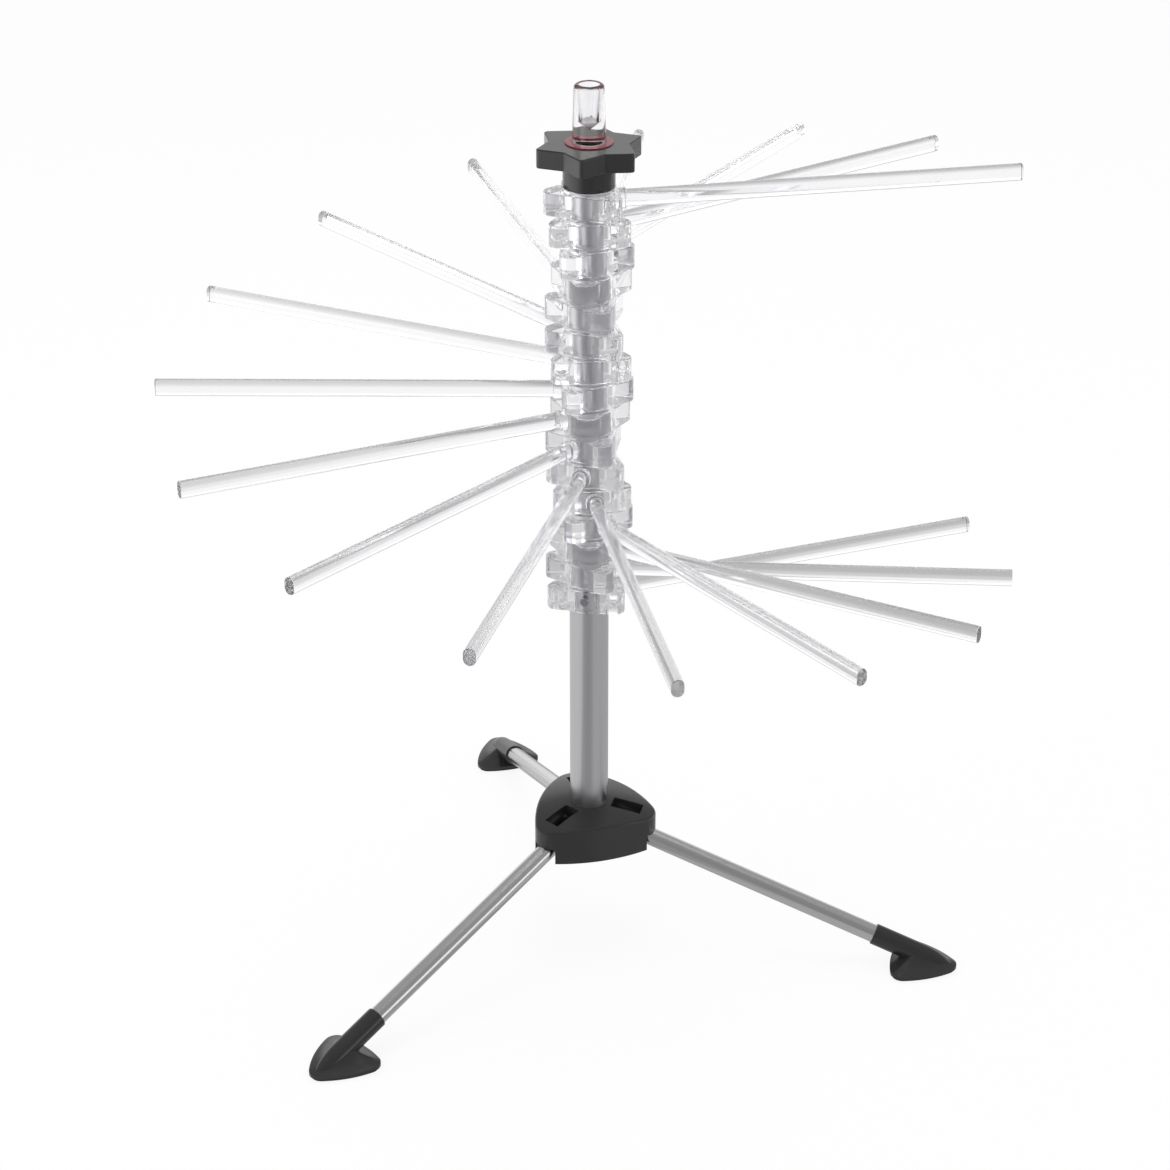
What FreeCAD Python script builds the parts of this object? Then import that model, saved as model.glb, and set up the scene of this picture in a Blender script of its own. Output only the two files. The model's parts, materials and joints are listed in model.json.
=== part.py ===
"""Pasta drying rack: a tripod stand whose column carries a spiral of clear swinging arms.

Millimetres. The origin is on the floor under the column, +Z is up, and the arms climb anticlockwise
going down. Heights are worked out upwards from the leg pivots, angles are in degrees from +X.
"""
import FreeCAD, Part
import math
import os
import Sketcher
from FreeCAD import Placement, Rotation, Vector

ARM_COUNT = 16
LEGS = ("rear", "left", "right")

SIZES = {
    "pivot_height": (68.8, "height of the leg pivots above the floor"),
    "seat_rise": (15.8, "column seat above the leg pivots"),
    "tube_dia": (22.0, "column tube outside diameter"),
    "tube_wall": (1.5, "column tube wall"),
    "tube_length": (374.9, "column tube length"),
    "stack_over": (0.5, "top of the collar stack above the tube's end"),
    "first_arm_angle": (8.48, "direction of the top arm"),
    "arm_step": (24.73, "turn from one arm to the next below, and the swing of a collar"),
    "arm_reach": (235.0, "arm tip from the column axis, along the arm"),
    "arm_width": (6.6, "arm section, across"),
    "arm_height": (9.6, "arm section, upright"),
    "arm_rise": (0.9, "upward slant of the arms"),
    "collar_pitch": (15.42, "height from one collar to the next"),
    "collar_thick": (12.5, "thickness of a collar's three-cornered plate"),
    "collar_corner_dist": (18.3, "collar corner rounding centres from the axis"),
    "collar_corner_r": (6.0, "collar corner rounding"),
    "collar_boss_r": (14.0, "round spacer faces of a collar"),
    "column_fit": (0.3, "running clearance of a collar on the tube"),
    "socket_reach": (19.5, "arm socket mouth from the axis"),
    "socket_floor": (12.8, "arm socket floor from the axis"),
    "socket_wall": (1.6, "arm socket wall at the sides"),
    "socket_height": (11.4, "arm socket height"),
    "press_gap": (0.05, "gap of a pressed or glued fit"),
    "dog_outer_r": (16.2, "outer radius of the swing stops"),
    "dog_gap": (0.3, "clearance of the swing stops from the spacer faces"),
    "dog_height": (2.4, "height of the swing stops"),
    "dog_half": (6.0, "half angle of the stop tab under a collar"),
    "dog_play": (1.0, "angular play between tab and stops"),
    "stop_sweep": (7.0, "angle taken up by one stop block"),
    "knob_gap": (0.3, "gap from the collar stack to the knob's neck"),
    "knob_angle": (22.0, "direction of the first knob point"),
    "neck_r": (14.0, "knob neck radius"),
    "neck_height": (13.3, "knob neck height"),
    "lobe_height": (10.4, "knob star height"),
    "lobe_tip_r": (29.5, "knob star point radius"),
    "lobe_valley_r": (21.5, "knob star valley radius"),
    "lobe_round": (2.2, "rounding of the knob points"),
    "knob_edge": (0.7, "edge rounding of the knob"),
    "thread_r": (8.0, "threaded nipple radius"),
    "thread_length": (17.0, "threaded nipple length above the tube"),
    "thread_gap": (0.2, "clearance of the knob on the nipple"),
    "bush_insert": (25.0, "depth of the bush in the tube"),
    "ring_outer_r": (13.0, "seat ring outer radius"),
    "ring_height": (0.6, "seat ring height above the knob"),
    "ring_seat": (1.0, "depth of the seat ring in the knob"),
    "ring_round": (0.4, "rounding of the seat ring"),
    "handle_r": (9.0, "wand handle radius at the knob"),
    "handle_top_r": (8.0, "wand handle radius at the top"),
    "handle_height": (31.6, "wand handle height above the knob"),
    "handle_gap": (0.2, "clearance of the handle in the ring"),
    "handle_round": (1.8, "rounding of the handle's top"),
    "hollow_r": (5.9, "radius of the hollow in the handle"),
    "hollow_floor": (11.8, "floor of the hollow above the knob"),
    "hollow_cone": (4.3, "depth of the hollow's conical end"),
    "rod_r": (5.0, "wand rod radius"),
    "rod_length": (330.0, "wand rod length below the handle"),
    "rod_gap": (0.3, "clearance of the wand rod in the bush"),
    "first_leg_angle": (106.2, "direction of the rear leg"),
    "pivot_radius": (24.0, "leg pivots from the column axis"),
    "leg_dia": (9.0, "leg rod diameter"),
    "leg_slope": (19.3, "slope of an open leg below level"),
    "leg_tail": (9.0, "leg rod behind its pivot"),
    "leg_stop_gap": (0.15, "gap between an open leg and the edge that stops it"),
    "leg_side_gap": (0.6, "clearance of a leg between its cheeks"),
    "pin_dia": (4.0, "leg pin diameter"),
    "pin_gap": (0.1, "running clearance of a leg on its pin"),
    "hub_drop": (9.3, "hub skirt below the pivots"),
    "hub_rise": (13.2, "hub top above the pivots"),
    "hub_corner_dist": (27.3, "hub corner rounding centres from the axis"),
    "hub_corner_r": (12.3, "hub corner rounding"),
    "hub_side_r": (93.0, "radius of the hub's bulging sides"),
    "hub_wall": (2.4, "hub skirt wall"),
    "hub_edge": (1.4, "rounding of the hub's top edge"),
    "rim_width": (2.6, "rim round the hub's hollows"),
    "rim_lap": (0.6, "overlap of a leg ridge with the rim"),
    "valley_depth": (3.4, "depth of the hollows between the leg ridges"),
    "valley_edge": (0.5, "rounding of the edges round the hollows"),
    "deck_thick": (2.5, "hub deck thickness"),
    "boss_r": (10.7, "column seat boss radius"),
    "boss_lift": (4.0, "boss end above the skirt's lower edge"),
    "slot_width": (10.0, "width of the slot over a leg"),
    "slot_inner": (14.0, "inner end of the slot over a leg"),
    "slot_outer": (31.5, "outer end of the slot over a leg"),
    "notch_width": (16.0, "width of the leg notch in the skirt"),
    "notch_inner": (33.0, "inner end of the leg notch"),
    "cheek_thick": (3.0, "thickness of the cheeks that hold a leg pin"),
    "cheek_outer": (32.0, "outer end of the cheeks"),
    "plug_length": (20.0, "plug in the foot of the tube"),
    "screw_r": (2.5, "column screw radius"),
    "screw_gap": (0.2, "clearance of the column screw in the boss"),
    "screw_grip": (14.0, "column screw length in the plug"),
    "screw_head_r": (4.5, "column screw head radius"),
    "screw_head": (3.0, "column screw head height"),
    "grub_r": (1.6, "collar screw radius"),
    "grub_head_r": (2.4, "collar screw head radius"),
    "grub_head": (1.8, "collar screw head height"),
    "grub_sink": (0.2, "collar screw head below the collar's side"),
    "foot_axis_height": (8.05, "leg centreline above the floor at the foot's middle"),
    "foot_corner_dist": (15.2, "foot corner rounding centres from its middle"),
    "foot_corner_r": (6.9, "foot corner rounding"),
    "foot_side_r": (60.0, "radius of the foot's bulging sides"),
    "foot_edge": (2.0, "upright edge of the foot"),
    "waist_rise": (2.2, "middle of the foot's scooped flanks above its edge"),
    "waist_corner_dist": (10.2, "corner rounding centres of the flanks' middle"),
    "waist_corner_r": (4.6, "corner rounding of the flanks' middle"),
    "waist_side_r": (45.0, "radius of the bulging sides at the flanks' middle"),
    "crown_rise": (6.5, "top of the foot's flanks above its edge"),
    "crown_corner_dist": (4.4, "corner rounding centres of the flanks' top"),
    "crown_corner_r": (2.0, "corner rounding of the flanks' top"),
    "crown_side_r": (24.0, "radius of the bulging sides at the flanks' top"),
    "nose_start": (2.0, "start of the hood's nose beyond the foot's middle"),
    "nose_tip": (24.0, "tip of the hood's nose beyond the foot's middle"),
    "mouth_edge": (0.6, "rounding of the foot socket's mouth"),
    "foot_socket_dia": (12.4, "diameter of the foot's hood and socket"),
    "foot_socket_length": (28.6, "foot socket length from the foot's middle"),
    "foot_socket_floor": (5.0, "foot socket floor from the foot's middle"),
    "sole_thick": (1.5, "rubber sole thickness"),
    "sole_inset": (1.2, "rubber sole inside the foot's edge"),
}

doc = FreeCAD.newDocument("pasta_drying_rack")
sheet = doc.addObject("Spreadsheet::Sheet", "dim")
for row, (alias, (value, note)) in enumerate(SIZES.items(), 1):
    sheet.set(f"A{row}", note)
    sheet.set(f"B{row}", str(value))
    sheet.setAlias(f"B{row}", alias)
doc.recompute()

# Heights and places that follow from the sizes
HUB_BOTTOM = "(dim.pivot_height - dim.hub_drop)"
HUB_TOP = "(dim.pivot_height + dim.hub_rise)"
DECK = f"({HUB_TOP} - dim.valley_depth)"
DECK_UNDER = f"({DECK} - dim.deck_thick)"
BOSS_BOTTOM = f"({HUB_BOTTOM} + dim.boss_lift)"
TUBE_BOTTOM = "(dim.pivot_height + dim.seat_rise)"
TUBE_TOP = f"({TUBE_BOTTOM} + dim.tube_length)"
TUBE_BORE_R = "(dim.tube_dia / 2 - dim.tube_wall)"
PLUG_TOP = f"({TUBE_BOTTOM} + dim.plug_length)"
STACK_TOP = f"({TUBE_TOP} + dim.stack_over)"
KNOB_BOTTOM = f"({STACK_TOP} + dim.knob_gap)"
KNOB_HEIGHT = "(dim.neck_height + dim.lobe_height)"
KNOB_TOP = f"({KNOB_BOTTOM} + {KNOB_HEIGHT})"
WAND_SEAT = f"max({KNOB_TOP}; {PLUG_TOP} + dim.rod_length)"
RING_INNER_R = "(dim.handle_r + dim.handle_gap)"
COLLAR_SIDE = "(dim.collar_corner_dist / 2 + dim.collar_corner_r)"
DOG_INNER_R = "(dim.collar_boss_r + dim.dog_gap)"
LEG_R = "(dim.leg_dia / 2)"
LEG_REACH = "((dim.pivot_height - dim.foot_axis_height) / tan(dim.leg_slope))"
LEG_LENGTH = "((dim.pivot_height - dim.foot_axis_height) / sin(dim.leg_slope))"
CHEEK_INNER = f"({LEG_R} + dim.leg_side_gap)"
CHEEK_OUTER = f"({CHEEK_INNER} + dim.cheek_thick)"
WALL_INNER = "(dim.hub_corner_dist + dim.hub_corner_r - dim.hub_wall)"
NOTCH_TOP = (f"(dim.pivot_height - ({WALL_INNER} - dim.pivot_radius) * tan(dim.leg_slope)"
             f" + {LEG_R} / cos(dim.leg_slope) + dim.leg_stop_gap)")


def num(expression):
    """The value of an expression on the sheet's sizes."""
    return float(sheet.evalExpression(expression))


def polar(radius, angle):
    return Vector(radius * math.cos(angle), radius * math.sin(angle), 0)


# Sketch helpers
def new_body(name):
    body = doc.addObject("PartDesign::Body", name)
    body.Label = name
    return body


def new_sketch(body, name, role="XY_Plane", lift="0", turn_axis=None, turn="0", side="0"):
    """A sketch on one of the body's own planes, lifted, shifted along its Y and turned."""
    sketch = body.newObject("Sketcher::SketchObject", f"{body.Name}_{name}")
    plane = next(f for f in body.Origin.OriginFeatures if f.Role == role)
    sketch.AttachmentSupport = [(plane, "")]
    sketch.MapMode = "FlatFace"
    if turn_axis:
        sketch.AttachmentOffset = Placement(Vector(), Rotation(turn_axis, 1))
        sketch.setExpression("AttachmentOffset.Rotation.Angle", turn)
    sketch.setExpression("AttachmentOffset.Base.z", lift)
    sketch.setExpression("AttachmentOffset.Base.y", side)
    return sketch


def sized(sketch, kind, *where, value):
    """Adds a dimension whose value follows an expression."""
    index = sketch.addConstraint(Sketcher.Constraint(kind, *where, num(value)))
    sketch.setExpression(f"Constraints[{index}]", value)


def fix_point(sketch, geometry, point, x, y):
    """Places a point of a sketch by two expressions, on an axis where one of them is zero."""
    for kind, value, axis in (("DistanceX", x, -2), ("DistanceY", y, -1)):
        if value == "0":
            sketch.addConstraint(Sketcher.Constraint("PointOnObject", geometry, point, axis))
        else:
            sized(sketch, kind, -1, 1, geometry, point, value=value)


def circle(sketch, radius, x="0", y="0"):
    centre = Vector(num(x), num(y), 0)
    ring = sketch.addGeometry(Part.Circle(centre, Vector(0, 0, 1), num(radius)), False)
    sized(sketch, "Radius", ring, value=radius)
    fix_point(sketch, ring, 3, x, y)


def outline(sketch, points):
    """A closed run of straight lines through points given as pairs of expressions."""
    places = [Vector(num(x), num(y), 0) for x, y in points]
    count = len(places)
    lines = [sketch_line(sketch, places[i], places[(i + 1) % count]) for i in range(count)]
    for i, line in enumerate(lines):
        sketch.addConstraint(Sketcher.Constraint("Coincident", line, 2, lines[(i + 1) % count], 1))
        fix_point(sketch, line, 1, *points[i])


def rectangle(sketch, x0, x1, y0, y1):
    outline(sketch, [(x0, y0), (x1, y0), (x1, y1), (x0, y1)])


def arc(sketch, centre, radius, start, end):
    """An anticlockwise arc between two points."""
    angles = [math.atan2(p.y - centre.y, p.x - centre.x) for p in (start, end)]
    ring = Part.Circle(centre, Vector(0, 0, 1), radius)
    return sketch.addGeometry(Part.ArcOfCircle(ring, *angles), False)


def sketch_line(sketch, start, end):
    return sketch.addGeometry(Part.LineSegment(start, end), False)


def join_tangent(sketch, run):
    for first, second in zip(run, run[1:] + run[:1]):
        sketch.addConstraint(Sketcher.Constraint("Tangent", first, 2, second, 1))


def rounded_triangle(sketch, corner_dist, corner_r, side_r=None, first_corner=0):
    """Three rounded corners joined by straight sides, or by bulging arcs of radius side_r."""
    reach, small = num(corner_dist), num(corner_r)
    azimuths = [math.radians(first_corner + 120 * k) for k in range(3)]
    centres = [polar(reach, a) for a in azimuths]
    if side_r:
        big = num(side_r)
        offset = math.sqrt((big - small) ** 2 - 0.75 * reach ** 2) - reach / 2
        hearts = [polar(-offset, a + math.pi / 3) for a in azimuths]
    starts, ends = [], []
    for k in range(3):
        if side_r:
            after = (centres[k] - hearts[k]).normalize()
            before = (centres[k] - hearts[k - 1]).normalize()
        else:
            after = polar(1, azimuths[k] + math.pi / 3)
            before = polar(1, azimuths[k] - math.pi / 3)
        starts.append(centres[k] + before * small)
        ends.append(centres[k] + after * small)
    run = []
    for k in range(3):
        corner = arc(sketch, centres[k], small, starts[k], ends[k])
        following = starts[(k + 1) % 3]
        if side_r:
            side = arc(sketch, hearts[k], big, ends[k], following)
        else:
            side = sketch_line(sketch, ends[k], following)
        run += [corner, side]
    join_tangent(sketch, run)
    for k in range(3):
        sized(sketch, "Radius", run[2 * k], value=corner_r)
        angle = first_corner + 120 * k
        x = f"{corner_dist} * cos({angle})"
        y = "0" if angle % 180 == 0 else f"{corner_dist} * sin({angle})"
        fix_point(sketch, run[2 * k], 3, x, y)
        if side_r:
            sized(sketch, "Radius", run[2 * k + 1], value=side_r)


def upright_oval(sketch, width, height):
    """An oval of two half circles and two straight sides, taller than wide."""
    radius, lift = num(width) / 2, (num(height) - num(width)) / 2
    top, bottom = Vector(0, lift, 0), Vector(0, -lift, 0)
    across = Vector(radius, 0, 0)
    run = [
        arc(sketch, top, radius, top + across, top - across),
        sketch_line(sketch, top - across, bottom - across),
        arc(sketch, bottom, radius, bottom - across, bottom + across),
        sketch_line(sketch, bottom + across, top + across),
    ]
    join_tangent(sketch, run)
    straight = f"(({height}) - ({width})) / 2"
    sized(sketch, "Radius", run[0], value=f"({width}) / 2")
    fix_point(sketch, run[0], 3, "0", straight)
    fix_point(sketch, run[2], 3, "0", f"-{straight}")


def lobe_outline(sketch, reach, radius):
    """An oval outwards along X: half circles round the origin and round its far end, and two sides."""
    far, up = Vector(num(reach), 0, 0), Vector(0, num(radius), 0)
    run = [
        arc(sketch, far, up.y, far - up, far + up),
        sketch_line(sketch, far + up, up),
        arc(sketch, Vector(), up.y, up, -up),
        sketch_line(sketch, -up, far - up),
    ]
    join_tangent(sketch, run)
    sized(sketch, "Radius", run[0], value=radius)
    fix_point(sketch, run[0], 3, reach, "0")
    fix_point(sketch, run[2], 3, "0", "0")


def nose_outline(sketch, back, start, tip, radius):
    """Half the outline of a round hood along X, whose nose is an arc that leaves its side smoothly."""
    tail, point = Vector(num(back), 0, 0), Vector(num(tip), 0, 0)
    shoulder, heel = Vector(num(start), num(radius), 0), Vector(num(back), num(radius), 0)
    run_out = point.x - shoulder.x
    bend = (run_out ** 2 + shoulder.y ** 2) / (2 * shoulder.y)
    axis = sketch_line(sketch, tail, point)
    nose = arc(sketch, shoulder - Vector(0, bend, 0), bend, point, shoulder)
    side = sketch_line(sketch, shoulder, heel)
    end = sketch_line(sketch, heel, tail)
    for first, second in ((axis, nose), (side, end), (end, axis)):
        sketch.addConstraint(Sketcher.Constraint("Coincident", first, 2, second, 1))
    sketch.addConstraint(Sketcher.Constraint("Tangent", nose, 2, side, 1))
    fix_point(sketch, axis, 1, back, "0")
    fix_point(sketch, axis, 2, tip, "0")
    fix_point(sketch, side, 1, start, radius)
    fix_point(sketch, side, 2, back, radius)


# Feature helpers
def extrude(kind, sketch, length, reverse=False, both_ways=False):
    body = sketch.getParentGeoFeatureGroup()
    feature = body.newObject(f"PartDesign::{kind}", f"{sketch.Name}_{kind}")
    feature.Profile = sketch
    feature.setExpression("Length", length)
    feature.Reversed = reverse
    if both_ways:
        feature.SideType = "Symmetric"
    return feature


def pad(sketch, length, **how):
    return extrude("Pad", sketch, length, **how)


def pocket(sketch, length, **how):
    return extrude("Pocket", sketch, length, **how)


def revolve(sketch, angle="360", axis="V_Axis"):
    body = sketch.getParentGeoFeatureGroup()
    feature = body.newObject("PartDesign::Revolution", f"{sketch.Name}_turned")
    feature.Profile = sketch
    feature.ReferenceAxis = (sketch, [axis])
    feature.setExpression("Angle", angle)
    return feature


def pattern(body, originals, count):
    """Repeats features round the body's own Z axis."""
    feature = body.newObject("PartDesign::PolarPattern", f"{body.Name}_pattern_{originals[0].Name}")
    feature.Originals = originals
    axis = next(f for f in body.Origin.OriginFeatures if f.Role == "Z_Axis")
    feature.Axis = (axis, [""])
    feature.Angle = 360
    feature.Occurrences = count
    body.Tip = feature
    return feature


def round_edges(body, radius, wanted):
    """Rounds the edges of the body's tip that pass a test."""
    doc.recompute()
    base = body.Tip
    names = [f"Edge{i}" for i, edge in enumerate(base.Shape.Edges, 1) if wanted(edge)]
    if not names:
        raise RuntimeError(f"{body.Name}: no edge to round")
    feature = body.newObject("PartDesign::Fillet", f"{body.Name}_round_{len(body.Group)}")
    feature.Base = (base, names)
    feature.setExpression("Radius", radius)


def level(thing, low, high=None):
    """Whether an edge or a face runs from one height to another, or lies at one height."""
    box = thing.BoundBox
    return abs(box.ZMin - low) < 1e-4 and abs(box.ZMax - (low if high is None else high)) < 1e-4


def is_ring(edge, radius):
    curve = edge.Curve
    return isinstance(curve, Part.Circle) and abs(curve.Radius - num(radius)) < 1e-4


def place(thing, x="0", y="0", z="0", angle="0"):
    """Puts a finished piece in the frame, turned about +Z."""
    thing.Placement = Placement(Vector(), Rotation(Vector(0, 0, 1), 1))
    thing.setExpression("Placement.Rotation.Angle", angle)
    for axis, value in zip("xyz", (x, y, z)):
        thing.setExpression(f"Placement.Base.{axis}", value)


def cylinder(name, radius, height, z="0"):
    piece = doc.addObject("Part::Cylinder", name)
    piece.setExpression("Radius", radius)
    piece.setExpression("Height", height)
    piece.setExpression("Placement.Base.z", z)
    return piece


def lay_out(piece, azimuth, start, height):
    """Turns a cylinder to point outwards at an azimuth, from a radius and a height."""
    flat = Rotation(Vector(0, 0, 1), num(azimuth)) * Rotation(Vector(0, 1, 0), 90)
    piece.Placement = Placement(Vector(), flat)
    piece.setExpression("Placement.Base.x", f"{start} * cos({azimuth})")
    piece.setExpression("Placement.Base.y", f"{start} * sin({azimuth})")
    piece.setExpression("Placement.Base.z", height)
    return piece


def boolean(kind, name, base, tool):
    piece = doc.addObject(f"Part::{kind}", name)
    piece.Base = base
    piece.Tool = tool
    piece.Label = name
    return piece


# Column
def make_column_tube(screw_hole):
    outer = cylinder("tube_outside", "dim.tube_dia / 2", "dim.tube_length", TUBE_BOTTOM)
    bore = cylinder("tube_bore", TUBE_BORE_R, "dim.tube_length", TUBE_BOTTOM)
    pipe = boolean("Cut", "tube_pipe", outer, bore)
    return boolean("Cut", "column_tube", pipe, screw_hole)


def make_column_plug():
    core = cylinder("plug_core", f"{TUBE_BORE_R} - dim.press_gap", "dim.plug_length", TUBE_BOTTOM)
    hole = cylinder("plug_hole", "dim.screw_r + dim.press_gap", "dim.plug_length", TUBE_BOTTOM)
    return boolean("Cut", "column_plug", core, hole)


def make_base_screw():
    shank_length = f"{TUBE_BOTTOM} - {BOSS_BOTTOM} + dim.screw_grip"
    shank = cylinder("screw_shank", "dim.screw_r", shank_length, BOSS_BOTTOM)
    head = cylinder("screw_head", "dim.screw_head_r", "dim.screw_head",
                    f"{BOSS_BOTTOM} - dim.screw_head")
    return boolean("Fuse", "base_screw", shank, head)


def make_top_bush():
    """A bush pressed in the tube, with the nipple that the knob screws on to."""
    body = new_body("top_bush")
    profile = new_sketch(body, "profile", "XZ_Plane")
    inside, insert = "dim.rod_r + dim.rod_gap", f"{TUBE_BORE_R} - dim.press_gap"
    outline(profile, [
        (inside, "-dim.bush_insert"),
        (insert, "-dim.bush_insert"),
        (insert, "0"),
        ("dim.thread_r", "0"),
        ("dim.thread_r", "dim.thread_length"),
        (inside, "dim.thread_length"),
    ])
    revolve(profile)
    place(body, z=TUBE_TOP)
    return body


# Collars and arms
def arm_angle(index):
    return f"(dim.first_arm_angle + {index} * dim.arm_step)"


def collar_height(index):
    return f"({STACK_TOP} - ({index} + 0.5) * dim.collar_pitch)"


def along_arm(body, name, start):
    """A sketch square to the arm, which slants up from the collar's middle."""
    return new_sketch(body, name, "YZ_Plane", turn_axis=Vector(-1, 0, 0), turn="dim.arm_rise",
                      lift=f"({start}) * cos(dim.arm_rise)", side=f"({start}) * sin(dim.arm_rise)")


def swing_dog(body, name, start, sweep, low, high):
    """A stop block that follows the column's curve for a few degrees."""
    section = new_sketch(body, name, "XZ_Plane", turn_axis=Vector(0, 1, 0), turn=start)
    rectangle(section, DOG_INNER_R, "dim.dog_outer_r", low, high)
    revolve(section, sweep)


def make_collar(name, index):
    """One clear collar: plate, spacer faces, arm socket, swing stops above and a tab below."""
    body = new_body(name)
    half = "dim.collar_thick / 2"
    plate = new_sketch(body, "plate", lift=f"-{half}")
    rounded_triangle(plate, "dim.collar_corner_dist", "dim.collar_corner_r", first_corner=60)
    pad(plate, "dim.collar_thick")
    spacer = new_sketch(body, "spacer", lift="-dim.collar_pitch / 2")
    circle(spacer, "dim.collar_boss_r")
    pad(spacer, "dim.collar_pitch")
    mouth = along_arm(body, "mouth", "dim.socket_floor")
    upright_oval(mouth, "dim.arm_width + 2 * dim.socket_wall", "dim.socket_height")
    pad(mouth, "dim.socket_reach - dim.socket_floor")
    rise = f"{half} + dim.dog_height"
    low_stop = "180 - dim.arm_step - dim.dog_half - dim.dog_play - dim.stop_sweep"
    swing_dog(body, "open_stop", low_stop, "dim.stop_sweep", half, rise)
    swing_dog(body, "closed_stop", "180 + dim.dog_half + dim.dog_play", "dim.stop_sweep", half, rise)
    swing_dog(body, "tab", "180 - dim.dog_half", "2 * dim.dog_half", f"-{half} - dim.dog_height",
              f"-{half}")
    bore = new_sketch(body, "bore", lift="dim.collar_pitch / 2")
    circle(bore, "dim.tube_dia / 2 + dim.column_fit")
    pocket(bore, "dim.collar_pitch")
    hole = along_arm(body, "hole", "dim.socket_floor")
    upright_oval(hole, "dim.arm_width + 2 * dim.press_gap", "dim.arm_height + 2 * dim.press_gap")
    pocket(hole, "dim.socket_reach", reverse=True)
    place(body, z=collar_height(index), angle=arm_angle(index))
    return body


def make_arm(index):
    body = new_body(f"arm_{index + 1:02d}")
    section = along_arm(body, "section", "dim.socket_floor + dim.press_gap")
    upright_oval(section, "dim.arm_width", "dim.arm_height")
    pad(section, "dim.arm_reach - dim.socket_floor - dim.press_gap")
    place(body, z=collar_height(index), angle=arm_angle(index))
    return body


def collar_screw_parts(name, gap, from_radius):
    """Shank and head of the screw in the lowest collar, made larger by a gap for its hole."""
    azimuth = f"({arm_angle(ARM_COUNT - 1)} + 240)"
    height = collar_height(ARM_COUNT - 1)
    head_start = f"({COLLAR_SIDE} - dim.grub_sink - dim.grub_head - {gap})"
    shank = cylinder(f"{name}_shank", f"dim.grub_r + {gap}", f"{head_start} - {from_radius}")
    lay_out(shank, azimuth, from_radius, height)
    head = cylinder(f"{name}_head", f"dim.grub_head_r + {gap}", f"dim.grub_head + 4 * {gap}")
    lay_out(head, azimuth, head_start, height)
    return shank, head


# Knob and wand
def make_clamp_knob():
    """A six-pointed knob on a round neck, bored for the nipple and the wand."""
    body = new_body("clamp_knob")
    neck = new_sketch(body, "neck")
    circle(neck, "dim.neck_r")
    pad(neck, KNOB_HEIGHT)
    lobe_count = 6
    lobe = new_sketch(body, "lobe", lift="dim.neck_height")
    half = math.pi / lobe_count
    valley = polar(num("dim.lobe_valley_r"), half)
    mirror = Vector(valley.x, -valley.y, 0)
    ball, heart = num("dim.lobe_round"), Vector(num("dim.lobe_tip_r - dim.lobe_round"), 0, 0)
    gap = valley - heart
    bearing = math.atan2(gap.y, gap.x) - math.acos(ball / gap.Length)
    upper = heart + polar(ball, bearing)
    lower = Vector(upper.x, -upper.y, 0)
    run = [
        sketch_line(lobe, Vector(), mirror),
        sketch_line(lobe, mirror, lower),
        arc(lobe, heart, ball, lower, upper),
        sketch_line(lobe, upper, valley),
        sketch_line(lobe, valley, Vector()),
    ]
    for first, second in ((0, 1), (3, 4), (4, 0)):
        lobe.addConstraint(Sketcher.Constraint("Coincident", run[first], 2, run[second], 1))
    for first, second in ((1, 2), (2, 3)):
        lobe.addConstraint(Sketcher.Constraint("Tangent", run[first], 2, run[second], 1))
    lobe.addConstraint(Sketcher.Constraint("Coincident", run[0], 1, -1, 1))
    degrees = 180 / lobe_count
    across = f"dim.lobe_valley_r * cos({degrees})"
    fix_point(lobe, run[0], 2, across, f"-dim.lobe_valley_r * sin({degrees})")
    fix_point(lobe, run[4], 1, across, f"dim.lobe_valley_r * sin({degrees})")
    fix_point(lobe, run[2], 3, "dim.lobe_tip_r - dim.lobe_round", "0")
    sized(lobe, "Radius", run[2], value="dim.lobe_round")
    pattern(body, [pad(lobe, "dim.lobe_height")], lobe_count)
    top, under = num(KNOB_HEIGHT), num("dim.neck_height")
    far = num("dim.neck_r")
    round_edges(body, "dim.knob_edge", lambda e: (level(e, top) or level(e, under))
                and math.hypot(*e.CenterOfMass[:2]) > far)
    seat = new_sketch(body, "seat", lift=KNOB_HEIGHT)
    circle(seat, "dim.ring_outer_r")
    pocket(seat, "dim.ring_seat")
    nut = new_sketch(body, "nut")
    circle(nut, "dim.thread_r + dim.thread_gap")
    pocket(nut, "dim.thread_length - dim.stack_over - dim.knob_gap + dim.thread_gap", reverse=True)
    way = new_sketch(body, "way")
    circle(way, "dim.rod_r + dim.rod_gap")
    pocket(way, KNOB_HEIGHT, reverse=True)
    place(body, z=KNOB_BOTTOM, angle="dim.knob_angle")
    return body


def make_knob_ring():
    """The coloured ring let into the knob round the wand's handle, with a floor under the handle."""
    body = new_body("knob_ring")
    outer = "dim.ring_outer_r - dim.press_gap"
    way = "dim.rod_r + dim.rod_gap"
    profile = new_sketch(body, "profile", "XZ_Plane")
    outline(profile, [
        (way, "-dim.ring_seat"),
        (outer, "-dim.ring_seat"),
        (outer, "dim.ring_height"),
        (RING_INNER_R, "dim.ring_height"),
        (RING_INNER_R, "0"),
        (way, "0"),
    ])
    revolve(profile)
    top = num("dim.ring_height")
    round_edges(body, "dim.ring_round", lambda e: level(e, top) and is_ring(e, outer))
    place(body, z=KNOB_TOP)
    return body


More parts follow.
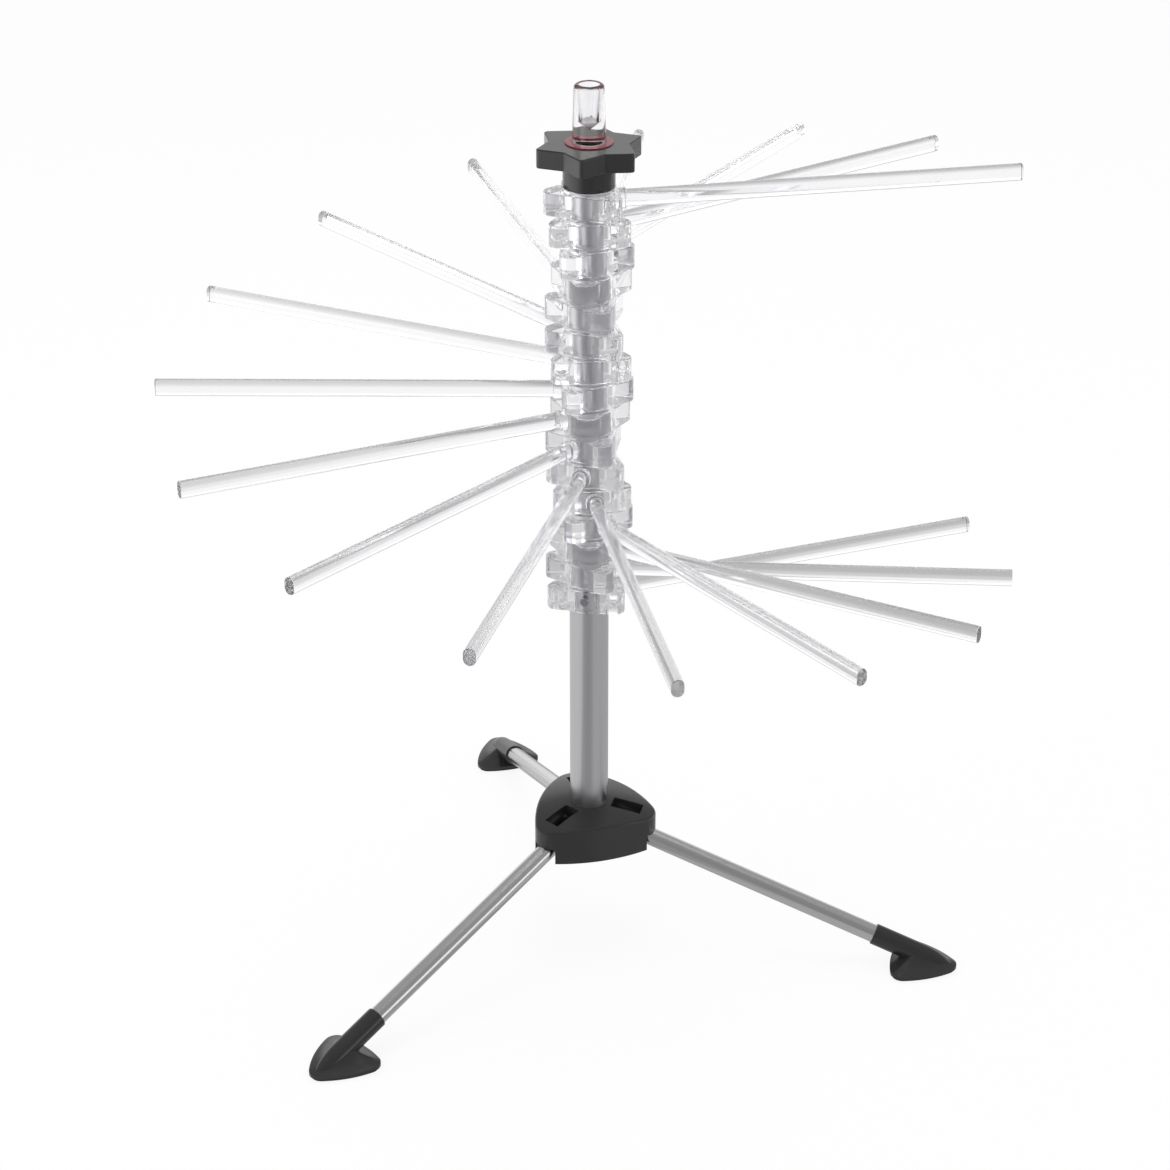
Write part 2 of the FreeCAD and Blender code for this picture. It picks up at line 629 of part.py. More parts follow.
def make_pasta_wand():
    """A hollow-topped handle on the rod kept in the column; a rod too long for it stands on the plug."""
    body = new_body("pasta_wand")
    profile = new_sketch(body, "profile", "XZ_Plane")
    outline(profile, [
        ("0", "-dim.rod_length"),
        ("dim.rod_r", "-dim.rod_length"),
        ("dim.rod_r", "0"),
        ("dim.handle_r", "0"),
        ("dim.handle_top_r", "dim.handle_height"),
        ("dim.hollow_r", "dim.handle_height"),
        ("dim.hollow_r", "dim.hollow_floor"),
        ("0", "dim.hollow_floor - dim.hollow_cone"),
    ])
    revolve(profile)
    top = num("dim.handle_height")
    round_edges(body, "dim.handle_round", lambda e: level(e, top) and is_ring(e, "dim.handle_top_r"))
    place(body, z=WAND_SEAT)
    return body


# Hub and legs
def borders_hollow(edge, shape):
    """Whether an edge lies on the hub's top, above one of the walls round its hollows."""
    walls = [face for face in shape.ancestorsOfType(edge, Part.Face) if level(face, num(DECK), num(HUB_TOP))]
    return level(edge, num(HUB_TOP)) and bool(walls)


def make_base_hub():
    """The three-cornered hub: skirt, deck, leg ridges, column boss and the cheeks for the pins."""
    body = new_body("base_hub")
    corner = ("dim.hub_corner_dist", "dim.hub_corner_r", "dim.hub_side_r")
    hull = new_sketch(body, "hull", lift=HUB_BOTTOM)
    rounded_triangle(hull, *corner)
    pad(hull, "dim.hub_drop + dim.hub_rise")
    top = num(HUB_TOP)
    round_edges(body, "dim.hub_edge", lambda e: level(e, top))
    inner = ("dim.hub_corner_dist", "dim.hub_corner_r - dim.hub_wall", "dim.hub_side_r - dim.hub_wall")
    hollow = new_sketch(body, "hollow", lift=HUB_BOTTOM)
    rounded_triangle(hollow, *inner)
    pocket(hollow, f"{DECK_UNDER} - {HUB_BOTTOM}", reverse=True)
    dish = new_sketch(body, "dish", lift=HUB_TOP)
    rounded_triangle(dish, "dim.hub_corner_dist", "dim.hub_corner_r - dim.rim_width",
                     "dim.hub_side_r - dim.rim_width")
    pocket(dish, "dim.valley_depth")
    boss = new_sketch(body, "boss", lift=BOSS_BOTTOM)
    circle(boss, "dim.boss_r")
    pad(boss, f"{TUBE_BOTTOM} - {BOSS_BOTTOM}")
    ridge = new_sketch(body, "ridge", lift=DECK)
    lobe_outline(ridge, "dim.hub_corner_dist", "dim.hub_corner_r - dim.rim_width + dim.rim_lap")
    ridge_pad = pad(ridge, "dim.valley_depth")
    ridges = pattern(body, [ridge_pad], len(LEGS))
    round_edges(body, "dim.valley_edge", lambda e: borders_hollow(e, ridges.Shape))
    cheeks = new_sketch(body, "cheeks", lift=BOSS_BOTTOM)
    for sign in ("", "-"):
        rectangle(cheeks, "dim.boss_r / 2", "dim.cheek_outer", f"{sign}{CHEEK_INNER}",
                  f"{sign}{CHEEK_OUTER}")
    cheeks_pad = pad(cheeks, f"{DECK_UNDER} - {BOSS_BOTTOM}")
    slot = new_sketch(body, "slot", lift=HUB_TOP)
    rectangle(slot, "dim.slot_inner", "dim.slot_outer", "-dim.slot_width / 2", "dim.slot_width / 2")
    slot_cut = pocket(slot, f"{HUB_TOP} - {DECK_UNDER}")
    notch = new_sketch(body, "notch", lift=HUB_BOTTOM)
    rectangle(notch, "dim.notch_inner", "dim.hub_corner_dist + 2 * dim.hub_corner_r",
              "-dim.notch_width / 2", "dim.notch_width / 2")
    notch_cut = pocket(notch, f"{NOTCH_TOP} - {HUB_BOTTOM}", reverse=True)
    pin_hole = new_sketch(body, "pin_hole", "XZ_Plane")
    circle(pin_hole, "dim.pin_dia / 2 + dim.press_gap", "dim.pivot_radius", "dim.pivot_height")
    pin_cut = pocket(pin_hole, f"2 * {CHEEK_OUTER}", both_ways=True)
    pattern(body, [cheeks_pad, slot_cut, notch_cut, pin_cut], len(LEGS))
    bolt_way = new_sketch(body, "bolt_way", lift=BOSS_BOTTOM)
    circle(bolt_way, "dim.screw_r + dim.screw_gap")
    pocket(bolt_way, f"{TUBE_BOTTOM} - {BOSS_BOTTOM}", reverse=True)
    place(body, angle="dim.first_leg_angle")
    return body


def leg_angle(index):
    return f"(dim.first_leg_angle + {index} * 120)"


def make_leg_pin(name, index):
    body = new_body(f"leg_pin_{name}")
    section = new_sketch(body, "section", "XZ_Plane")
    circle(section, "dim.pin_dia / 2", "dim.pivot_radius", "dim.pivot_height")
    pad(section, f"2 * {CHEEK_OUTER}", both_ways=True)
    place(body, angle=leg_angle(index))
    return body


def down_leg(body, name, start):
    """A sketch square to an open leg, at a distance outwards from its pivot."""
    return new_sketch(
        body, name, "YZ_Plane", turn_axis=Vector(1, 0, 0), turn="dim.leg_slope",
        lift=f"dim.pivot_radius + ({start}) * cos(dim.leg_slope)",
        side=f"dim.pivot_height - ({start}) * sin(dim.leg_slope)")


def make_leg_rod(name, index):
    body = new_body(f"leg_rod_{name}")
    section = down_leg(body, "section", "-dim.leg_tail")
    circle(section, LEG_R)
    pad(section, f"dim.leg_tail + {LEG_LENGTH} - dim.foot_socket_floor - dim.press_gap")
    hole = new_sketch(body, "hole", "XZ_Plane")
    circle(hole, "dim.pin_dia / 2 + dim.pin_gap", "dim.pivot_radius", "dim.pivot_height")
    pocket(hole, "2 * dim.leg_dia", both_ways=True)
    place(body, angle=leg_angle(index))
    return body


def make_foot(name, index):
    """A three-cornered foot with scooped flanks, under a hood that holds the leg and ends in a nose."""
    body = new_body(f"foot_{name}")
    edge_top = "dim.sole_thick + dim.foot_edge"
    corner = ("dim.foot_corner_dist", "dim.foot_corner_r", "dim.foot_side_r")
    base = new_sketch(body, "base", lift="dim.sole_thick")
    rounded_triangle(base, *corner)
    pad(base, "dim.foot_edge")
    skirt = new_sketch(body, "skirt", lift=edge_top)
    rounded_triangle(skirt, *corner)
    waist = new_sketch(body, "waist", lift=f"{edge_top} + dim.waist_rise")
    rounded_triangle(waist, "dim.waist_corner_dist", "dim.waist_corner_r", "dim.waist_side_r")
    crown = new_sketch(body, "crown", lift=f"{edge_top} + dim.crown_rise")
    rounded_triangle(crown, "dim.crown_corner_dist", "dim.crown_corner_r", "dim.crown_side_r")
    flanks = body.newObject("PartDesign::AdditiveLoft", f"{body.Name}_flanks")
    flanks.Profile = skirt
    flanks.Sections = [waist, crown]
    hood = new_sketch(body, "hood", "XZ_Plane", turn_axis=Vector(0, 0, -1), turn="dim.leg_slope",
                      side="dim.foot_axis_height")
    hood_r = "dim.foot_socket_dia / 2"
    nose_outline(hood, "-dim.foot_socket_length", "dim.nose_start", "dim.nose_tip", hood_r)
    revolve(hood, axis="H_Axis")
    trim = new_sketch(body, "trim", lift="dim.sole_thick")
    circle(trim, "dim.foot_socket_length + dim.nose_tip")
    pocket(trim, "dim.foot_socket_dia")
    round_edges(body, "dim.mouth_edge", lambda e: is_ring(e, hood_r) and e.Closed)
    hole = new_sketch(body, "hole", "YZ_Plane", turn_axis=Vector(1, 0, 0), turn="dim.leg_slope",
                      lift="-dim.foot_socket_floor * cos(dim.leg_slope)",
                      side="dim.foot_axis_height + dim.foot_socket_floor * sin(dim.leg_slope)")
    circle(hole, f"{LEG_R} + dim.press_gap")
    pocket(hole, "dim.foot_socket_length")
    return stand_foot(body, index)


def make_sole(name, index):
    body = new_body(f"sole_{name}")
    sheet_cut = new_sketch(body, "cut")
    rounded_triangle(sheet_cut, "dim.foot_corner_dist", "dim.foot_corner_r - dim.sole_inset",
                     "dim.foot_side_r - dim.sole_inset")
    pad(sheet_cut, "dim.sole_thick")
    return stand_foot(body, index)


def stand_foot(body, index):
    """Puts a foot piece under the end of its leg."""
    reach = f"(dim.pivot_radius + {LEG_REACH})"
    angle = leg_angle(index)
    place(body, x=f"{reach} * cos({angle})", y=f"{reach} * sin({angle})", angle=angle)
    return body


# Assembly
nodes = []
grub = collar_screw_parts("grub", "0", f"({TUBE_BORE_R} - dim.press_gap)")
grub_hole = collar_screw_parts("grub_hole", "dim.press_gap", f"({TUBE_BORE_R} - dim.tube_wall)")
grub_way = boolean("Fuse", "grub_way", *grub_hole)
nodes += [make_base_hub(), make_column_tube(grub_way), make_column_plug(), make_base_screw(), make_top_bush()]
for i in range(ARM_COUNT):
    lowest = i == ARM_COUNT - 1
    collar_name = f"collar_{i + 1:02d}"
    collar = make_collar("collar_blank" if lowest else collar_name, i)
    nodes.append(boolean("Cut", collar_name, collar, grub_way) if lowest else collar)
    nodes.append(make_arm(i))
nodes.append(boolean("Fuse", "collar_screw", *grub))
nodes += [make_clamp_knob(), make_knob_ring(), make_pasta_wand()]
for i, leg in enumerate(LEGS):
    nodes += [make_leg_pin(leg, i), make_leg_rod(leg, i), make_foot(leg, i), make_sole(leg, i)]
doc.recompute()

# Every object has to be whole before anything is written
failed = [o.Name for o in doc.Objects if "Invalid" in o.State or "Error" in o.State]
failed += [n.Label for n in nodes if n.Shape.isNull() or not n.Shape.isValid() or not n.Shape.Solids]
if failed:
    raise RuntimeError(f"failed: {failed}")
os.makedirs("parts", exist_ok=True)
for node in nodes:
    node.Shape.exportStep(f"parts/{node.Label}.step")
    print(f"{node.Label}: {len(node.Shape.Solids)} solid, {node.Shape.Volume:.1f} mm3")
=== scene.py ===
import json
import math

import bmesh
import bpy
from bpy.props import FloatProperty, FloatVectorProperty, IntProperty, PointerProperty
from mathutils import Matrix, Vector
from mathutils.bvhtree import BVHTree


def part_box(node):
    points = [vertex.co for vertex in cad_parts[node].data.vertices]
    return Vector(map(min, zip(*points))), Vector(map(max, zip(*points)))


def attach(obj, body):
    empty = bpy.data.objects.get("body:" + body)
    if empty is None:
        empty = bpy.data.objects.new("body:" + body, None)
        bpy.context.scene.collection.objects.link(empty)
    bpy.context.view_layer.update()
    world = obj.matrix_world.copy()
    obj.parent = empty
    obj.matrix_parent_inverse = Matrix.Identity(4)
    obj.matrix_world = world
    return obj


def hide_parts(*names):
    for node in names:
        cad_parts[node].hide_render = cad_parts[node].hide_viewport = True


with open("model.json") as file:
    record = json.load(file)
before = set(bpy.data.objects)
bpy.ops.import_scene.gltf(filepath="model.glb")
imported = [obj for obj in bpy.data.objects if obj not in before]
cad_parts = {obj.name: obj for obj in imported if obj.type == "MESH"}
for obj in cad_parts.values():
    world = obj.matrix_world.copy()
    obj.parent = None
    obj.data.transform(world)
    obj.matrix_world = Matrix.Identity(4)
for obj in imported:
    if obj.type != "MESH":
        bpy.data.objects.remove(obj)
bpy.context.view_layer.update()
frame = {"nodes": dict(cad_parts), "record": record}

bl_info = {
    "name": "Pasta drying rack",
    "version": (1, 0, 0),
    "blender": (4, 5, 0),
    "location": "View3D > Sidebar > Drying rack",
    "description": "Dresses a pasta drying rack: clear swinging arms on a column with a folding tripod",
    "category": "Add Mesh",
}

NODES = frame["nodes"]
BODIES = frame["record"]["behaviour"]["bodies"]
BODY_OF = {node: body for body, nodes in BODIES.items() for node in nodes}
ARM_NUMBERS = sorted(name.split("_")[1] for name in NODES if name.startswith("arm_"))
LEG_SIDES = sorted(name.split("_")[-1] for name in NODES if name.startswith("leg_rod_"))

# Lengths are in metres, and points closer than the weld are one
MM = 0.001
WELD = MM / 1000

# Turns between faces: shaded as one surface up to the first or second, and rounded past the last
SMOOTH_TURN = math.radians(50)
FINE_TURN = math.radians(25)
SHARP_TURN = math.radians(40)


# Sizes and finishes that a user may change
def length(name, default, description):
    """A size in millimetres, kept in metres."""
    return FloatProperty(name=name, description=description, default=default * MM, min=0,
                         precision=5, subtype="DISTANCE", unit="LENGTH")


def angle(name, default, description):
    """An angle in degrees, kept in radians."""
    return FloatProperty(name=name, description=description, default=math.radians(default),
                         subtype="ANGLE", unit="ROTATION")


def count(name, default, description, least):
    return IntProperty(name=name, description=description, default=default, min=least)


def colour(name, default, description):
    return FloatVectorProperty(name=name, description=description, default=default, min=0, max=1,
                               size=3, subtype="COLOR")


def share(name, default, description):
    return FloatProperty(name=name, description=description, default=default, min=0, max=1,
                         subtype="FACTOR")


def brightness(name, default, description):
    return FloatProperty(name=name, description=description, default=default, min=0)


class RackTierSizes(bpy.types.PropertyGroup):
    """Sizes of one clear collar and its arm."""
    arm_width: length("Arm width", 6.6, "Arm section, across")
    arm_height: length("Arm height", 9.6, "Arm section, upright")
    arm_reach: length("Arm reach", 235, "Arm tip from the column axis, along the arm")
    arm_rise: angle("Arm rise", 0.9, "Upward slant of the arms")
    pitch: length("Pitch", 15.42, "Height from one collar to the next")
    seam: length("Seam", 0.04, "Gap left at each spacer face")
    plate_thick: length("Plate", 12.5, "Thickness of the three-cornered plate")
    corner_dist: length("Corner distance", 18.3, "Corner rounding centres from the axis")
    corner_round: length("Corner rounding", 6.0, "Radius of the plate's corners")
    plate_edge: length("Plate edge", 0.45, "Rounding of the collar's edges")
    spacer: length("Spacer", 14.0, "Radius of the round spacer faces")
    bore: length("Bore", 11.3, "Radius of the bore round the column")
    stop_inner: length("Stop inside", 14.3, "Inner radius of the swing stops")
    stop_outer: length("Stop outside", 16.2, "Outer radius of the swing stops")
    stop_height: length("Stop height", 2.4, "Height of the swing stops")
    stop_margin: length("Stop margin", 0.8, "Least distance of a stop from the plate's outline")
    socket_reach: length("Socket reach", 19.5, "Arm socket mouth from the axis")
    socket_width: length("Socket width", 9.8, "Width of the arm socket")
    socket_height: length("Socket height", 11.4, "Height of the arm socket")
    window: angle("Socket window", 22, "Half angle of the plate's side that the socket grows from")
    open_stop: angle("Open stop", 142, "Bearing of the stop for the spread arms, from the arm")
    closed_stop: angle("Closed stop", 188, "Bearing of the stop for the gathered arms, from the arm")
    stop_sweep: angle("Stop sweep", 6, "Angle taken up by one stop")
    tab_start: angle("Tab", 174, "Bearing of the tab under the collar, from the arm")
    tab_sweep: angle("Tab sweep", 12, "Angle taken up by the tab")
    facets: count("Facets", 180, "Steps round the column", 60)
    arm_facets: count("Arm facets", 50, "Steps round the arm", 10)


class RackTopSizes(bpy.types.PropertyGroup):
    """Sizes of the seat ring and the wand above the knob."""
    ring_outer: length("Ring outside", 12.95, "Seat ring outer radius")
    ring_inner: length("Ring inside", 9.2, "Seat ring inner radius round the handle")
    ring_seat: length("Ring seat", 1.0, "Depth of the seat ring in the knob")
    ring_round: length("Ring rounding", 0.4, "Rounding of the seat ring's shoulder")
    way: length("Wand way", 5.3, "Radius of the hole for the wand's rod")
    handle: length("Handle", 9.0, "Wand handle radius at the knob")
    handle_top: length("Handle top", 8.0, "Wand handle radius at its rim")
    handle_round: length("Handle rounding", 1.8, "Rounding of the handle's rim")
    seat: length("Seat", 0.02, "Depth of the handle in the ring, so that no two faces coincide")
    hollow: length("Hollow", 5.7, "Radius of the hollow at the handle's rim")
    hollow_end: length("Hollow end", 4.2, "Radius of the hollow above its cone")
    hollow_floor: length("Hollow floor", 11.8, "Edge of the hollow's cone above the knob")
    hollow_tip: length("Hollow tip", 7.5, "Point of the hollow's cone above the knob")
    frost_margin: length("Frost margin", 0.1, "Reach of the frosting past the hollow's cone")
    rod: length("Rod", 5.0, "Wand rod radius")
    rod_edge: length("Rod edge", 0.8, "Rounding of the rod's end")
    facets: count("Facets", 96, "Steps round the column", 24)


class RackLegSizes(bpy.types.PropertyGroup):
    """Sizes of the plated legs."""
    width: length("Leg", 10.5, "Leg diameter with its plating")
    slope: angle("Slope", 19.3, "Slope of an open leg below level")


class RackHubSizes(bpy.types.PropertyGroup):
    """Sizes of the hub's domed top."""
    crown: length("Crown", 84.6, "Height of the dome at the column")
    lip: length("Lip", 82.0, "Height of the dome at the middle of the hub's sides")
    column: length("Column", 11.0, "Column radius")
    side: length("Side", 29.5, "Middle of the hub's sides from the axis")
    deck: length("Deck", 77.0, "Height between the hub's top and its underside")
    edge: length("Edge", 1.4, "Rounding of the hub's edge")
    boss: length("Boss", 84.5, "Height above which the column's seat stays as it is")
    step: length("Step", 2.5, "Longest edge in the dome's mesh")


class RackFinish(bpy.types.PropertyGroup):
    """Colours of the materials, and the refraction of the clear plastic."""
    clear: colour("Clear", (0.975, 0.97, 0.985), "Tint of the clear plastic")
    clear_ior: FloatProperty(name="Clear IOR", description="Refraction of the clear plastic",
                             default=1.45)
    frost: colour("Frost", (0.93, 0.93, 0.93), "Drilled end of the wand's hollow")
    red: colour("Red", (0.62, 0.02, 0.06), "Tint of the seat ring")
    black: colour("Black", (0.024, 0.024, 0.025), "Moulded black plastic")
    inner: colour("Inner black", (0.03, 0.03, 0.032), "Plain plastic inside the column")
    aluminium: colour("Aluminium", (0.66, 0.66, 0.68), "Satin column tube")
    chrome: colour("Chrome", (0.70, 0.70, 0.71), "Plated legs")
    steel: colour("Steel", (0.42, 0.42, 0.43), "Screws and pins")
    rubber: colour("Rubber", (0.02, 0.02, 0.02), "Soles")


class RackStudio(bpy.types.PropertyGroup):
    """Camera and light."""
    lens: FloatProperty(name="Lens", description="Focal length", default=90.1,
                        subtype="DISTANCE_CAMERA", unit="CAMERA")
    back_off: length("Camera distance", 1465.7, "Camera in front of the column")
    eye: length("Camera height", 974.2, "Camera above the floor")
    tilt: angle("Camera tilt", 27.09, "Camera below level")
    shift: FloatProperty(name="Camera shift", description="Sideways shift of the picture",
                         default=-0.0035)
    sight: length("Camera sight", 100000, "Farthest distance that the camera shows")
    aim: length("Lamp aim", 300, "Height on the column that the lamps point at")
    floor_half: length("Floor", 6000, "Half width of the floor")
    floor_tone: colour("Floor tone", (0.95, 0.95, 0.95), "Floor where it takes shadow")
    shadow: share("Shadow", 0.12, "Share of the floor that takes shadow")
    soft_light: brightness("Soft light", 0.75, "Strength of the even light from all round")
    room_front: brightness("Room in front", 0.3, "Room behind the camera, in reflections")
    room_side: brightness("Room at the sides", 0.4, "Room to the sides and above, in reflections")
    room_back: brightness("Room behind", 1.0, "Room behind the rack, in reflections")
    room_clear: brightness("Room in clear plastic", 0.2, "Added to the room through clear plastic")
    room_lamp: brightness("Room lamp", 1.2, "Added by the lamp on the right, in reflections")
    floor_front: brightness("Floor in front", 0.36, "Floor in front, in reflections")
    floor_left: brightness("Floor on the left", 0.7, "Floor on the left, in reflections")
    floor_right: brightness("Floor on the right", 0.5, "Floor on the right, in reflections")
    floor_lamp: brightness("Floor by the lamp", 1.1, "Added far out on the left, in reflections")
    floor_back: brightness("Floor behind", 1.0, "Floor behind the rack, in reflections")
    bounces: count("Bounces", 24, "Light paths inside the clear plastic", 1)


# Geometry helpers
def bearing_of(point):
    return math.atan2(point.y, point.x)


def middle(node):
    """The middle of a CAD node's box."""
    low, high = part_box(node)
    return (low + high) / 2


def only(kind, items):
    """The items of one kind among what a bmesh operator made."""
    return [item for item in items if isinstance(item, kind)]


def edges_of(parts):
    """The edges of some faces or at some vertices, each once."""
    linked = (part.edges if isinstance(part, bmesh.types.BMFace) else part.link_edges for part in parts)
    return list(dict.fromkeys(edge for edges in linked for edge in edges))


def circle(bm, radius, facets):
    """A circle of wire round the Z axis, as its vertices."""
    return bmesh.ops.create_circle(bm, cap_ends=False, segments=facets, radius=radius)["verts"]


def grow(bm, loop, move):
    """Extrudes a loop of edges to where a function sends it. Gives the new loop and the faces."""
    made = bmesh.ops.extrude_edge_only(bm, edges=loop)["geom"]
    verts = set(only(bmesh.types.BMVert, made))
    for vert in verts:
        vert.co = move(vert.co)
    ahead = [edge for edge in only(bmesh.types.BMEdge, made) if verts.issuperset(edge.verts)]
    return ahead, only(bmesh.types.BMFace, made)


def round_edges(bm, edges, radius, segments=2):
    bmesh.ops.bevel(bm, geom=edges, offset=radius, affect="EDGES", segments=segments, profile=0.5,
                    material=-1)


def sharp_edges(bm):
    """Outward edges whose faces meet at a sharp turn."""
    return [edge for edge in bm.edges if edge.is_convex and edge.calc_face_angle(0) > SHARP_TURN]


def lathe(bm, profile, facets, closed=False):
    """Turns a profile of (radius, height) points round the Z axis."""
    verts = [bm.verts.new((radius, 0, height)) for radius, height in profile]
    pairs = list(zip(verts, verts[1:]))
    if closed:
        pairs.append((verts[-1], verts[0]))
    edges = [bm.edges.new(pair) for pair in pairs]
    bmesh.ops.spin(bm, geom=verts + edges, cent=(0, 0, 0), axis=(0, 0, 1), dvec=(0, 0, 0),
                   angle=math.tau, steps=facets, use_merge=True, use_duplicate=False)
    bmesh.ops.remove_doubles(bm, verts=bm.verts, dist=WELD)
    bmesh.ops.recalc_face_normals(bm, faces=bm.faces)


def rim(bm, radius, height):
    """The edges of one circle of a turned piece."""
    near = MM / 100

    def on_rim(vert):
        return abs(vert.co.xy.length - radius) < near and abs(vert.co.z - height) < near

    return [edge for edge in bm.edges if all(on_rim(vert) for vert in edge.verts)]


def solid_mesh(node):
    """A copy of a CAD node's mesh, in place and with its seams joined."""
    bm = bmesh.new()
    bm.from_mesh(NODES[node].data)
    bm.transform(NODES[node].matrix_world)
    bmesh.ops.remove_doubles(bm, verts=bm.verts, dist=WELD)
    return bm


def split_long_edges(bm, find_faces, limit):
    """Halves the edges of some faces until none is longer than a limit."""
    while True:
        long = [edge for edge in edges_of(find_faces()) if edge.calc_length() > limit]
        if not long:
            return
        bmesh.ops.subdivide_edges(bm, edges=long, cuts=1)
        bmesh.ops.triangulate(bm, faces=[face for face in bm.faces if len(face.verts) > 3])


def new_piece(name, bm, material, slot, *nodes, smooth_turn=SMOOTH_TURN):
    """Makes a finished piece that stands for CAD nodes and moves with them."""
    mesh = bpy.data.meshes.new(name)
    bm.to_mesh(mesh)
    bm.free()
    mesh.shade_smooth()
    mesh.set_sharp_from_angle(angle=smooth_turn)
    mesh.materials.append(material)
    piece = bpy.data.objects.new(name, mesh)
    bpy.context.scene.collection.objects.link(piece)
    piece.modifiers.new("weighted_normals", "WEIGHTED_NORMAL").keep_sharp = True
    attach(piece, BODY_OF[nodes[0]])
    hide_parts(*nodes)


def dress(material, *nodes):
    """Gives CAD nodes a finished material."""
    for node in nodes:
        materials = NODES[node].data.materials
        materials.clear()
        materials.append(material)


# Shader maths
class Value:
    """A socket that takes part in arithmetic: each operator adds a Math node."""

    def __init__(self, graph, socket):
        self.graph = graph
        self.socket = socket

    def math(self, operation, first, second):
        return self.graph.add("ShaderNodeMath", {"operation": operation}, {0: first, 1: second})[0]

    def __add__(self, other):
        return self.math("ADD", self, other)

    def __sub__(self, other):
        return self.math("SUBTRACT", self, other)

    def __rsub__(self, other):
        return self.math("SUBTRACT", other, self)

    def __mul__(self, other):
        return self.math("MULTIPLY", self, other)

    def __truediv__(self, other):
        return self.math("DIVIDE", self, other)

    def __rtruediv__(self, other):
        return self.math("DIVIDE", other, self)

    __radd__ = __add__
    __rmul__ = __mul__

    def at_least(self, other):
        return self.math("MAXIMUM", self, other)

    def below(self, other):
        return self.math("LESS_THAN", self, other)

    def size(self):
        return self.math("ABSOLUTE", self, 0)


class Added:
    """A node's outputs, as values, by name or number."""

    def __init__(self, graph, node):
        self.graph = graph
        self.node = node

    def __getitem__(self, key):
        return Value(self.graph, self.node.outputs[key])


class Graph:
    """A node tree that is written from its inputs to its output."""

    def __init__(self, tree):
        self.tree = tree
        tree.nodes.clear()

    def add(self, kind, settings=None, inputs=None):
        """Adds a node with its settings, and the values or links of its sockets."""
        node = self.tree.nodes.new(kind)
        for name, value in (settings or {}).items():
            setattr(node, name, value)
        for key, value in (inputs or {}).items():
            if isinstance(value, Value):
                self.tree.links.new(value.socket, node.inputs[key])
            else:
                node.inputs[key].default_value = value
        return Added(self, node)


def new_material(name):
    material = bpy.data.materials.new(name)
    material.use_nodes = True
    return material, Graph(material.node_tree)


def axes(graph, output):
    """The X, Y and Z of a texture coordinate."""
    place = graph.add("ShaderNodeTexCoord")[output]
    return graph.add("ShaderNodeSeparateXYZ", {}, {"Vector": place})


def noise(graph, scale, detail, stretch=None):
    """Noise from 0 to 1 over the piece. A stretch has a factor for each axis."""
    place = graph.add("ShaderNodeTexCoord")["Object"]
    if stretch:
        place = graph.add("ShaderNodeMapping", {}, {"Vector": place, "Scale": stretch})["Vector"]
    return graph.add("ShaderNodeTexNoise", {}, {
        "Vector": place, "Scale": scale, "Detail": detail, "Roughness": 0.55,
    })["Fac"]


def ramp(graph, value, span, low, high):
    """A smooth change from one level to another over a span of values."""
    start, end = span
    return graph.add("ShaderNodeMapRange", {"interpolation_type": "SMOOTHSTEP"}, {
        "Value": value, "From Min": start, "From Max": end, "To Min": low, "To Max": high,
    })["Result"]


def tinted(graph, base, low, high, mask):
    """A colour between two strengths of a base, by a mask."""
    return graph.add("ShaderNodeMix", {"data_type": "RGBA"}, {
        "Factor": mask,
        "A": (*(channel * low for channel in base), 1),
        "B": (*(channel * high for channel in base), 1),
    })["Result"]


def bump(graph, height, strength, depth):
    """A surface raised by a mask, with its depth in metres."""
    return graph.add("ShaderNodeBump", {}, {
        "Height": height, "Strength": strength, "Distance": depth,
    })["Normal"]


def principled(graph, **inputs):
    """A Principled shader; names of sockets use _ for spaces."""
    sockets = {name.replace("_", " "): value for name, value in inputs.items()}
    return graph.add("ShaderNodeBsdfPrincipled", {}, sockets)["BSDF"]


def blend(graph, factor, first, second):
    """A mix of two shaders."""
    return graph.add("ShaderNodeMixShader", {}, {0: factor, 1: first, 2: second})["Shader"]


def close(graph, shader):
    graph.add("ShaderNodeOutputMaterial", {}, {"Surface": shader})


def surface(graph, **inputs):
    """Closes a material with one Principled shader."""
    close(graph, principled(graph, **inputs))


# Materials
def clear_shader(graph, finish):
    scuff = noise(graph, 45.0, 4.0)
    flow = noise(graph, 60.0, 1.0)
    return principled(graph, Base_Color=tinted(graph, finish.clear, 0.98, 1.01, flow),
                      Roughness=0.05 + scuff * 0.05, IOR=finish.clear_ior, Transmission_Weight=0.985)


def clear_plastic(finish):
    """Moulded clear plastic of the collars and arms."""
    material, graph = new_material("clear_plastic")
    close(graph, clear_shader(graph, finish))
    return material


def wand_plastic(finish, radius, low, high):
    """Clear plastic, frosted by the drill inside a radius and between two heights."""
    material, graph = new_material("wand_plastic")
    grain = noise(graph, 1200.0, 2.0)
    frost = principled(graph, Base_Color=tinted(graph, finish.frost, 0.95, 1.05, grain),
                       Roughness=0.6 + grain * 0.2)
    spot = axes(graph, "Object")
    inside = (spot["X"] * spot["X"] + spot["Y"] * spot["Y"]).below(radius ** 2)
    drilled = inside * spot["Z"].below(high) * (1 - spot["Z"].below(low))
    close(graph, blend(graph, drilled, clear_shader(graph, finish), frost))
    return material


def red_plastic(finish):
    """Translucent red plastic of the seat ring."""
    material, graph = new_material("red_plastic")
    scuff = noise(graph, 120.0, 4.0)
    surface(graph, Base_Color=tinted(graph, finish.red, 0.9, 1.05, scuff),
            Roughness=0.08 + scuff * 0.08, IOR=1.5, Transmission_Weight=0.7,
            Normal=bump(graph, scuff, 0.05, 0.2 * MM))
    return material


